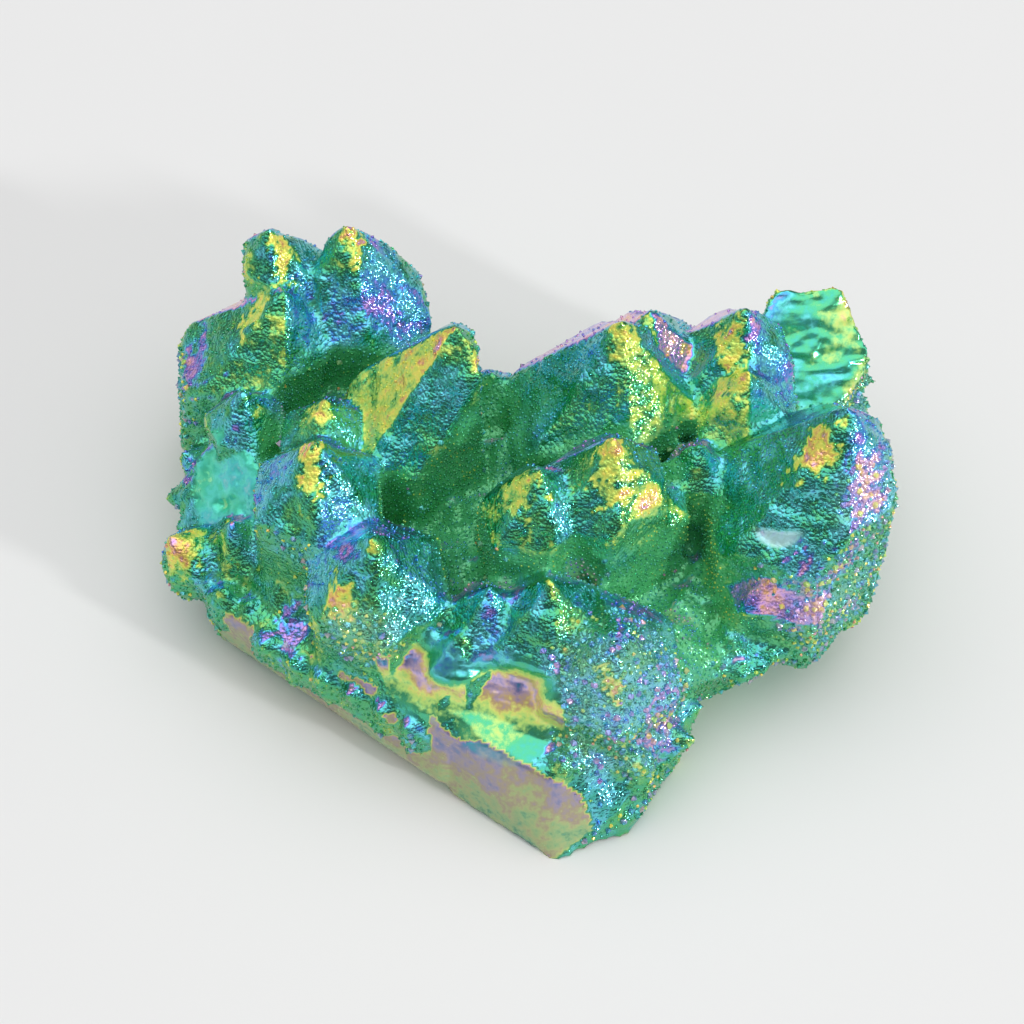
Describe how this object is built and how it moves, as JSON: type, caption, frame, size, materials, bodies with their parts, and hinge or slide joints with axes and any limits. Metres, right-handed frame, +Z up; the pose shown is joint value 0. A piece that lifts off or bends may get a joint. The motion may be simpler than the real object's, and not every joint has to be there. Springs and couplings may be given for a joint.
{
  "type": "aura quartz cluster",
  "caption": "Palm-sized cluster of stubby quartz points grown together on a broken quartz base, coated with a green iridescent film.",
  "frame": {"origin": "under the middle of the cluster's box, on the surface it rests on", "axes": "+Z up, +Y away from the viewer of the picture, +X to the viewer's right"},
  "size_m": [0.0664, 0.0558, 0.03],
  "materials": {
    "coated_quartz": "iridescent metallic film over drusy, part translucent quartz"
  },
  "bodies": {
    "root": {"quartz_cluster": "coated_quartz"}
  },
  "joints": []
}
